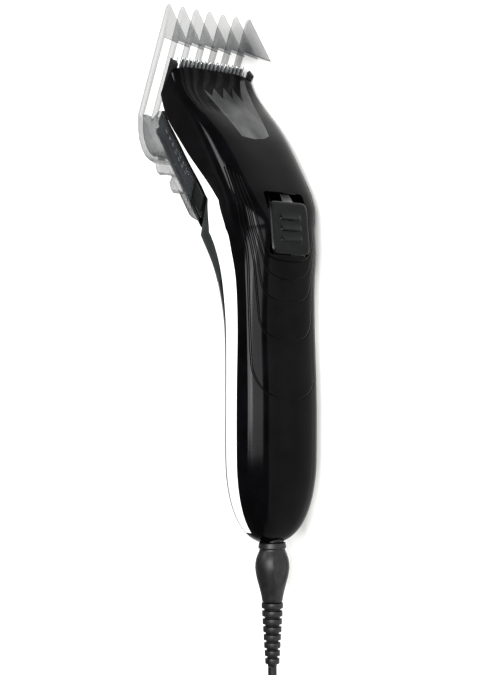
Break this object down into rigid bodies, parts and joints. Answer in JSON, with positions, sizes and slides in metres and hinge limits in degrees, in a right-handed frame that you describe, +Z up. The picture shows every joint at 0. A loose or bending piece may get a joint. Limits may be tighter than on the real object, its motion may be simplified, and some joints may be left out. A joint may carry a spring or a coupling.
{
  "type": "hair clipper",
  "caption": "Corded hair clipper with a curved handle, angled head, toothed cutting unit, clear sliding length comb, slide switch and ribbed connector on a cord with a plug-in adapter.",
  "frame": {"origin": "centre of the bottom of the clipper's own box, cord left out: it lies on its side on the surface z = 0", "axes": "+X along the handle towards the comb's finger tips, +Z up, which is from the clipper's one side to the other, -Y towards the side with the slide switch"},
  "size_m": [0.4621, 0.0911, 0.0441],
  "materials": {
    "casing_gloss": "polished black moulded plastic",
    "casing_matt": "fine-grained black moulded plastic",
    "trim": "glossy white moulded plastic",
    "slider": "satin dark grey plastic",
    "comb_clear": "clear moulded plastic",
    "blade_steel": "ground steel",
    "spring_steel": "spring steel wire and strip",
    "zinc": "zinc-plated steel",
    "plug_pins": "nickel-plated",
    "acetal": "white acetal",
    "board": "green circuit board",
    "capacitor": "blue sleeve",
    "lead_red": "red wire insulation",
    "lead_black": "black wire insulation and epoxy",
    "adapter": "matt black housing",
    "cord": "soft black cord and moulded relief"
  },
  "bodies": {
    "casing": {"adapter_base": "adapter", "adapter_cover": "adapter", "adapter_pin_1": "plug_pins", "adapter_pin_2": "plug_pins", "adapter_strain_relief": "cord", "back_shell": "casing_matt", "capacitor": "capacitor", "circuit_board": "board", "comb_detent_spring": "spring_steel", "comb_guide": "casing_matt", "connector_body": "cord", "cord_coil": "cord", "cord_lead": "cord", "cord_tail": "cord", "cord_tie": "casing_matt", "front_shell": "casing_gloss", "housing_screw_1": "zinc", "housing_screw_2": "zinc", "inlet_pin_1": "plug_pins", "inlet_pin_2": "plug_pins", "inlet_socket": "casing_matt", "motor_bracket": "casing_matt", "motor_can": "zinc", "motor_end_cap": "casing_matt", "motor_lead_black": "lead_black", "motor_lead_red": "lead_red", "rectifier_1": "lead_black", "rectifier_2": "lead_black", "strain_relief": "cord", "switch_contacts": "board", "trim_left": "trim", "trim_right": "trim"},
    "comb": {"length_comb": "comb_clear"},
    "switch": {"switch_slider": "slider"},
    "cutting_unit": {"guard_blade": "blade_steel", "cutter_frame": "casing_matt", "cutter_spring": "spring_steel"},
    "cutter": {"cutter_blade": "blade_steel", "cutter_bridge": "acetal"},
    "rotor": {"motor_shaft": "blade_steel", "drive_cam": "acetal"}
  },
  "joints": [
    {"name": "comb_slide", "type": "slide", "parent": "casing", "child": "comb", "axis": [0.7878, 0.6159, 0], "range_m": [-0.007, 0.012]},
    {"name": "switch_slide", "type": "slide", "parent": "casing", "child": "switch", "axis": [0.9936, 0.113, 0], "range_m": [0, 0.0042]},
    {"name": "cutting_unit_tilt", "type": "hinge", "parent": "casing", "child": "cutting_unit", "pos_m": [0.07455, 0.02458, 0.02205], "axis": [0, 0, 1], "range_deg": [0, 25]},
    {"name": "cutter_stroke", "type": "slide", "parent": "cutting_unit", "child": "cutter", "axis": [0, 0, 1], "range_m": [-0.0015, 0.0015]},
    {"name": "rotor_spin", "type": "hinge", "parent": "casing", "child": "rotor", "pos_m": [0.04615, -0.00802, 0.02205], "axis": [0.7682, 0.6402, 0], "continuous": true}
  ]
}
